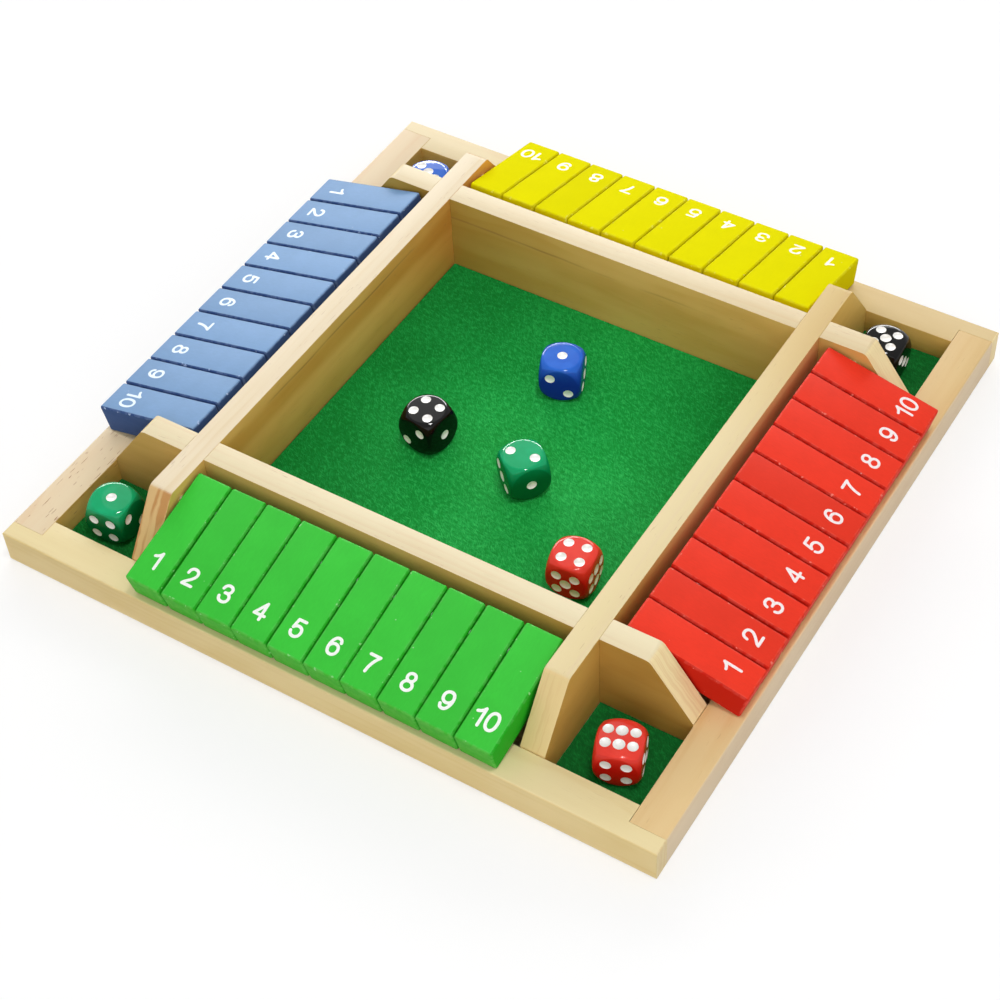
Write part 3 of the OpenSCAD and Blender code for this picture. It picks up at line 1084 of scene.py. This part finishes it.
CORNERS = (("front_left", -1, -1), ("front_right", 1, -1), ("back_right", 1, 1), ("back_left", -1, 1))
FELTS = {
    "pit_felt": Felt("pit_felt_green"),
    # The wells' felt is the pit's felt painted darker, as painted shade in the deep wells, with no
    # painted pool of light
    "well_felts": Felt(
        "well_felt_green",
        dark=(0.003, 0.13, 0.018),
        mid=(0.007, 0.24, 0.036),
        light=(0.03, 0.38, 0.08),
        worn=(1.0, 1.0, 1.0),
    ),
}


@dataclass
class Felts:
    """The felt of the pit and of the four wells, laid on the panel."""

    thick: float = 1.0 * MM
    wave: float = 0.10 * MM
    ragged: float = 0.18 * MM
    step: float = 1.6 * MM
    apart: float = 31.0
    fewest: int = 6
    fray: float = 0.5
    swell: float = 0.22

    def cloth(self, low: Vector, high: Vector, seed: float) -> Shape:
        """One square of felt, a little uneven on top and at its cut edges.

        Args:
            low: its lowest corner.
            high: its highest corner.
            seed: what sets it apart.

        Returns:
            The felt as a closed shape.
        """
        size = high - low
        count = max(self.fewest, round(size.x / self.step))
        shape = bmesh.new()
        middle = (low + high) / 2
        fit = Matrix.Translation((middle.x, middle.y, high.z))
        bmesh.ops.create_grid(shape, x_segments=count, y_segments=count, size=size.x / 2, matrix=fit)
        rise = bmesh.ops.extrude_face_region(shape, geom=list(shape.faces))
        under = [v for v in rise["geom"] if isinstance(v, bmesh.types.BMVert)]
        bmesh.ops.translate(shape, verts=under, vec=(0.0, 0.0, -self.thick))
        bmesh.ops.recalc_face_normals(shape, faces=shape.faces)
        for vert in shape.verts:
            spot = vert.co / MM + Vector((seed, seed, 0.0))
            for axis in (0, 1):
                if abs(abs(vert.co[axis] - middle[axis]) - size.x / 2) < TINY:
                    wave = Vector((spot.x * self.fray, spot.y * self.fray, seed))
                    pull = 0.5 + 0.5 * noise.noise(wave)
                    vert.co[axis] -= math.copysign(self.ragged * pull, vert.co[axis] - middle[axis])
            if vert.co.z > high.z - self.thick / 2:
                vert.co.z -= self.wave * (0.5 + 0.5 * noise.noise(spot * self.swell))
        return shape

    def squares(self) -> list[tuple[str, Vector, Vector, str]]:
        """The name, corners and frame node of each felt."""
        low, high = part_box("pit_felt")
        found = [("pit_felt_sheet", low, high, "pit_felt")]
        low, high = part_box("well_felts")
        inner = min(abs(v.co.x) for v in frame["nodes"]["well_felts"].data.vertices)
        outer = high.x
        for word, sx, sy in CORNERS:
            xs, ys = sorted((sx * inner, sx * outer)), sorted((sy * inner, sy * outer))
            ends = Vector((xs[0], ys[0], low.z)), Vector((xs[1], ys[1], high.z))
            found.append((f"{word}_well_felt_sheet", *ends, "well_felts"))
        return found

    def build(self) -> None:
        felts = {node: felt.material() for node, felt in FELTS.items()}
        for number, (name, low, high, node) in enumerate(self.squares()):
            cloth = self.cloth(low, high, self.apart * number)
            piece = finish_piece(name, cloth, [felts[node]], BOARD, [node], crease=50.0)


# Each lamp's place, its size in metres and its watts; the reflectors are seen by gloss alone
LAMPS: dict[str, tuple] = {
    "overhead": ((0.32, -0.12, 1.45), (0.22, 0.22), 4.6),
    "behind": ((-0.80, 1.20, 0.75), (1.70, 0.45), 10.0),
    "front": ((0.73, -1.09, 0.92), (1.40, 1.40), 4.6),
}
REFLECTORS: dict[str, tuple] = {
    "panel": ((-0.69, 0.80, 1.17), (0.80, 0.80), 1.7),
    "strip": ((-0.82, 1.23, 0.62), (1.60, 0.36), 55.0),
    "glint": ((0.30, -0.20, 1.60), (0.26, 0.26), 20.0),
}


@dataclass
class Studio:
    """The camera, the lamps, the sky and the floor."""

    place: Triple = (0.28644, -0.42698, 0.55311)
    right: Triple = (0.84924, 0.52615, -0.04433)
    down: Triple = (0.36830, -0.65042, -0.66431)
    lens: float = 75.92
    sensor: float = 36.0
    sky: float = 0.69
    floor_size: float = 6.0
    floor_drop: float = 0.05 * MM
    floor_glow: float = 0.52
    floor_greys: tuple[float, float] = (0.80, 0.50)

    def camera(self) -> None:
        """Sets the camera on its own axes."""
        data = bpy.data.cameras.new("view")
        data.lens = self.lens
        data.sensor_width = self.sensor
        camera = placed("view", data)
        right = Vector(self.right).normalized()
        back = right.cross(-Vector(self.down)).normalized()
        turn = Matrix((right, back.cross(right), back)).transposed().to_4x4()
        camera.matrix_world = Matrix.Translation(self.place) @ turn
        bpy.context.scene.camera = camera

    def light(self) -> None:
        """Hangs the soft lamps, the panels that only gloss shows, and a plain white sky."""
        for name, (place, size, watts) in (LAMPS | REFLECTORS).items():
            data = bpy.data.lights.new(name, "AREA")
            data.shape = "ELLIPSE" if size[0] == size[1] else "RECTANGLE"
            data.size, data.size_y = size
            data.energy = watts
            lamp = placed(name, data)
            lamp.location = place
            lamp.rotation_euler = (-Vector(place)).to_track_quat("-Z", "Y").to_euler()
            lamp.visible_diffuse = name in LAMPS
        world = bpy.data.worlds.new("sky")
        bpy.context.scene.world = world
        g = Graph(world)
        strength = g.wire("ShaderNodeMapRange", 0, {"Value": g.seen(), "To Min": self.sky})
        g.ended(g.wire("ShaderNodeBackground", 0, {"Strength": strength}))

    def floor(self) -> None:
        """Lays a plain white floor that keeps the board's shadow."""
        shape = bmesh.new()
        bmesh.ops.create_grid(shape, x_segments=1, y_segments=1, size=self.floor_size)
        floor = placed("floor", mesh_of("floor", shape))
        g = Graph("floor_white")
        greys = [(grey, grey, grey, 1.0) for grey in self.floor_greys]
        hidden, shown = (g.wire("ShaderNodeBsdfDiffuse", 0, {"Color": grey}) for grey in greys)
        glow = g.wire("ShaderNodeEmission", 0, {"Strength": self.floor_glow})
        shown = g.wire("ShaderNodeAddShader", 0, {0: shown, 1: glow})
        both = g.wire("ShaderNodeMixShader", 0, {0: g.seen(), 1: hidden, 2: shown})
        floor.data.materials.append(g.ended(both))
        floor.location.z = -self.floor_drop

    def build(self) -> None:
        """Sets up the whole studio."""
        self.camera()
        self.light()
        self.floor()
        bpy.context.scene.view_settings.view_transform = "Standard"


# The colours of each row's paint: on top, the painted shade at the sides and ends, at the tips and at
# worn edges; the yellow one, which is drier, also has its roughness, gloss and spread of tone
PAINTS: dict[Side, tuple] = {
    Side.GREEN: ((0.050, 0.59, 0.050), (0.020, 0.42, 0.015), (0.09, 0.50, 0.045), (0.30, 0.70, 0.26)),
    Side.RED: ((0.86, 0.042, 0.018), (0.62, 0.015, 0.006), (0.74, 0.040, 0.018), (0.90, 0.24, 0.18)),
    Side.YELLOW: (
        (0.83, 0.77, 0.0), (0.72, 0.64, 0.0), (0.80, 0.72, 0.0), (0.88, 0.84, 0.10), 0.7, 0.004, 0.04,
    ),
    Side.BLUE: ((0.225, 0.39, 0.65), (0.034, 0.075, 0.23), (0.16, 0.27, 0.50), (0.42, 0.56, 0.80)),
}
# The colours of each row's ink
INKS = {
    Side.GREEN: ((0.92, 0.95, 0.90), (0.82, 0.90, 0.80)),
    Side.RED: ((0.92, 0.82, 0.82), (0.85, 0.68, 0.66)),
    Side.YELLOW: ((0.90, 0.72, 0.56), (0.88, 0.76, 0.40)),
    Side.BLUE: ((0.74, 0.86, 0.94), (0.62, 0.76, 0.88)),
}
# Half a stroke's width, the numbers' shift and how much longer the tiles' inner ends are, in millimetres
PRINTS = ((0.54, -0.6, -0.4), (0.5, 0.0, -0.4), (0.5, 0.0, 0.3), (0.5, 0.0, 0.3))


def main() -> None:
    """Builds the studio and each sub-assembly."""
    logging.basicConfig(level=logging.INFO, format="%(message)s")
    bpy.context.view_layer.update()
    Studio().build()
    BoardFrame().build()
    Felts().build()
    for side, (half, shift, inner) in zip(Side, PRINTS):
        paint, ink = Paint(side, *PAINTS[side]), Ink(f"{side.word}_row_ink", *INKS[side])
        TileRow(side, paint, ink, Figures(half), shift * MM, inner * MM).build()
    Dice().build()


if __name__ == "__main__":
    main()
